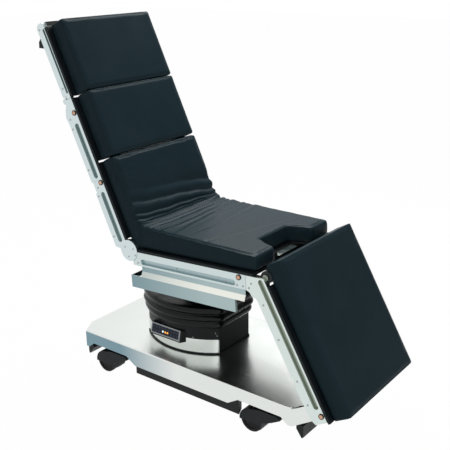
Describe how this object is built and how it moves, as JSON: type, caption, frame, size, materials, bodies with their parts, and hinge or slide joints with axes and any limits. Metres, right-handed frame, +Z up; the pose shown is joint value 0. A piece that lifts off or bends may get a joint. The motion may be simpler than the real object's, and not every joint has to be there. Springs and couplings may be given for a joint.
{
  "type": "operating table",
  "caption": "Mobile operating table with split cushions, hinged back, head and leg sections, column lift, tilt and swivel casters.",
  "frame": {"origin": "on the floor under the middle of the whole part's box", "axes": "+X towards the foot end, +Y towards the far side of the table, +Z up"},
  "size_m": [1.5024, 0.566, 1.5565],
  "materials": {
    "bright_cover": "satin",
    "skirt_steel": "brushed",
    "rail_metal": "brushed",
    "chassis_paint": "satin black",
    "machined_steel": "machined",
    "tube_paint": "satin grey",
    "black_plastic": "matt",
    "bellows_rubber": "matt",
    "tyre_rubber": "matt",
    "pad_cover": "coated upholstery",
    "board_plastic": "matt",
    "bronze_button": "satin bronze",
    "panel_trim": "grey",
    "keypad_face": "dark"
  },
  "bodies": {
    "base": {"base_cover": "bright_cover", "chassis": "chassis_paint", "outer_column": "tube_paint", "lift_cylinder": "machined_steel", "column_cover": "bright_cover", "column_casing": "black_plastic", "cover_gasket": "bellows_rubber", "panel_housing": "black_plastic", "panel_bezel": "panel_trim", "panel_keypad": "keypad_face"},
    "lift": {"inner_column": "tube_paint", "lift_rod": "machined_steel", "bellows": "bellows_rubber", "column_head": "tube_paint"},
    "cradle": {"tilt_trunnion": "machined_steel"},
    "tilt": {"lower_tray": "skirt_steel", "tilt_block": "tube_paint", "slide_rails": "machined_steel"},
    "seat": {"seat_side_plates": "rail_metal", "seat_cross_frame": "tube_paint", "slide_shoes": "black_plastic", "upper_skirts": "skirt_steel", "seat_board": "board_plastic", "seat_pad": "pad_cover"},
    "lower_back": {"lower_back_frame": "rail_metal", "back_hinge_shaft": "machined_steel", "lower_back_board": "board_plastic", "lower_back_pad": "pad_cover"},
    "upper_back": {"upper_back_frame": "rail_metal", "upper_back_prongs": "machined_steel", "upper_back_board": "board_plastic", "upper_back_pad": "pad_cover"},
    "head": {"head_frame": "rail_metal", "head_board": "board_plastic", "head_pad": "pad_cover"},
    "leg": {"leg_frame": "rail_metal", "leg_board": "board_plastic", "leg_pad": "pad_cover"},
    "head_lever": {"head_release_lever": "black_plastic"},
    "seat_button_near": {"seat_button_near": "bronze_button"},
    "seat_button_far": {"seat_button_far": "bronze_button"},
    "lower_back_button_near": {"lower_back_button_near": "bronze_button"},
    "lower_back_button_far": {"lower_back_button_far": "bronze_button"},
    "upper_back_button_near": {"upper_back_button_near": "bronze_button"},
    "upper_back_button_far": {"upper_back_button_far": "bronze_button"},
    "leg_button_near": {"leg_button_near": "bronze_button"},
    "leg_button_far": {"leg_button_far": "bronze_button"},
    "hood_head_near": {"caster_hood_head_near": "black_plastic"},
    "wheels_head_near": {"caster_wheels_head_near": "tyre_rubber"},
    "hood_head_far": {"caster_hood_head_far": "black_plastic"},
    "wheels_head_far": {"caster_wheels_head_far": "tyre_rubber"},
    "hood_foot_near": {"caster_hood_foot_near": "black_plastic"},
    "wheels_foot_near": {"caster_wheels_foot_near": "tyre_rubber"},
    "hood_foot_far": {"caster_hood_foot_far": "black_plastic"},
    "wheels_foot_far": {"caster_wheels_foot_far": "tyre_rubber"},
    "brake_foot": {"brake_bar_foot": "chassis_paint"},
    "brake_head": {"brake_bar_head": "chassis_paint"}
  },
  "joints": [
    {"name": "column_lift", "type": "slide", "parent": "base", "child": "lift", "axis": [0, 0, 1], "range_m": [0, 0.25], "deforming": ["bellows"]},
    {"name": "lateral_tilt", "type": "hinge", "parent": "lift", "child": "cradle", "pos_m": [-0.14685, 0, 0.488], "axis": [1, 0, 0], "range_deg": [-8, 8]},
    {"name": "longitudinal_tilt", "type": "hinge", "parent": "cradle", "child": "tilt", "pos_m": [-0.14685, 0, 0.515], "axis": [0, -1, 0], "range_deg": [-1.5, 20]},
    {"name": "top_slide", "type": "slide", "parent": "tilt", "child": "seat", "axis": [0.9984, 0, 0.0558], "range_m": [0, 0.1]},
    {"name": "back_hinge", "type": "hinge", "parent": "seat", "child": "lower_back", "pos_m": [-0.27545, 0, 0.65], "axis": [0, 1, 0], "range_deg": [-80, 6]},
    {"name": "upper_back_plug", "type": "slide", "parent": "lower_back", "child": "upper_back", "axis": [-0.4296, 0, 0.903], "range_m": [0, 0.06]},
    {"name": "head_hinge", "type": "hinge", "parent": "upper_back", "child": "head", "pos_m": [-0.59508, 0, 1.22882], "axis": [0, 1, 0], "range_deg": [-60, 0]},
    {"name": "leg_hinge", "type": "hinge", "parent": "seat", "child": "leg", "pos_m": [0.39151, 0, 0.68729], "axis": [0, 1, 0], "range_deg": [-63.2, 0]},
    {"name": "head_release", "type": "hinge", "parent": "head", "child": "head_lever", "pos_m": [-0.69628, 0, 1.47414], "axis": [0, 1, 0], "range_deg": [0, 25], "stiffness_Nm_per_rad": 2, "springref_deg": -2.86},
    {"name": "seat_button_near_press", "type": "slide", "parent": "seat", "child": "seat_button_near", "axis": [0, 1, 0], "range_m": [0, 0.003], "stiffness_N_per_m": 800, "springref_m": -0.003},
    {"name": "seat_button_far_press", "type": "slide", "parent": "seat", "child": "seat_button_far", "axis": [0, -1, 0], "range_m": [0, 0.003], "stiffness_N_per_m": 800, "springref_m": -0.003},
    {"name": "lower_back_button_near_press", "type": "slide", "parent": "lower_back", "child": "lower_back_button_near", "axis": [0, 1, 0], "range_m": [0, 0.003], "stiffness_N_per_m": 800, "springref_m": -0.003},
    {"name": "lower_back_button_far_press", "type": "slide", "parent": "lower_back", "child": "lower_back_button_far", "axis": [0, -1, 0], "range_m": [0, 0.003], "stiffness_N_per_m": 800, "springref_m": -0.003},
    {"name": "upper_back_button_near_press", "type": "slide", "parent": "upper_back", "child": "upper_back_button_near", "axis": [0, 1, 0], "range_m": [0, 0.003], "stiffness_N_per_m": 800, "springref_m": -0.003},
    {"name": "upper_back_button_far_press", "type": "slide", "parent": "upper_back", "child": "upper_back_button_far", "axis": [0, -1, 0], "range_m": [0, 0.003], "stiffness_N_per_m": 800, "springref_m": -0.003},
    {"name": "leg_button_near_press", "type": "slide", "parent": "leg", "child": "leg_button_near", "axis": [0, 1, 0], "range_m": [0, 0.003], "stiffness_N_per_m": 800, "springref_m": -0.003},
    {"name": "leg_button_far_press", "type": "slide", "parent": "leg", "child": "leg_button_far", "axis": [0, -1, 0], "range_m": [0, 0.003], "stiffness_N_per_m": 800, "springref_m": -0.003},
    {"name": "swivel_head_near", "type": "hinge", "parent": "base", "child": "hood_head_near", "pos_m": [-0.42985, -0.205, 0.113], "axis": [0, 0, 1], "continuous": true},
    {"name": "wheel_head_near", "type": "hinge", "parent": "hood_head_near", "child": "wheels_head_near", "pos_m": [-0.49985, -0.205, 0.05], "axis": [0, 1, 0], "continuous": true},
    {"name": "swivel_head_far", "type": "hinge", "parent": "base", "child": "hood_head_far", "pos_m": [-0.42985, 0.205, 0.113], "axis": [0, 0, 1], "continuous": true},
    {"name": "wheel_head_far", "type": "hinge", "parent": "hood_head_far", "child": "wheels_head_far", "pos_m": [-0.49985, 0.205, 0.05], "axis": [0, 1, 0], "continuous": true},
    {"name": "swivel_foot_near", "type": "hinge", "parent": "base", "child": "hood_foot_near", "pos_m": [0.37815, -0.205, 0.113], "axis": [0, 0, 1], "continuous": true},
    {"name": "wheel_foot_near", "type": "hinge", "parent": "hood_foot_near", "child": "wheels_foot_near", "pos_m": [0.30815, -0.205, 0.05], "axis": [0, 1, 0], "continuous": true},
    {"name": "swivel_foot_far", "type": "hinge", "parent": "base", "child": "hood_foot_far", "pos_m": [0.37815, 0.205, 0.113], "axis": [0, 0, 1], "continuous": true},
    {"name": "wheel_foot_far", "type": "hinge", "parent": "hood_foot_far", "child": "wheels_foot_far", "pos_m": [0.30815, 0.205, 0.05], "axis": [0, 1, 0], "continuous": true},
    {"name": "brake_foot_press", "type": "hinge", "parent": "base", "child": "brake_foot", "pos_m": [0.53015, 0, 0.106], "axis": [0, 1, 0], "range_deg": [0, 12]},
    {"name": "brake_head_press", "type": "hinge", "parent": "base", "child": "brake_head", "pos_m": [-0.58185, 0, 0.106], "axis": [0, -1, 0], "range_deg": [0, 12]}
  ],
  "couplings": [
    {"joint": "brake_head_press", "follows": "brake_foot_press", "ratio": 1}
  ]
}
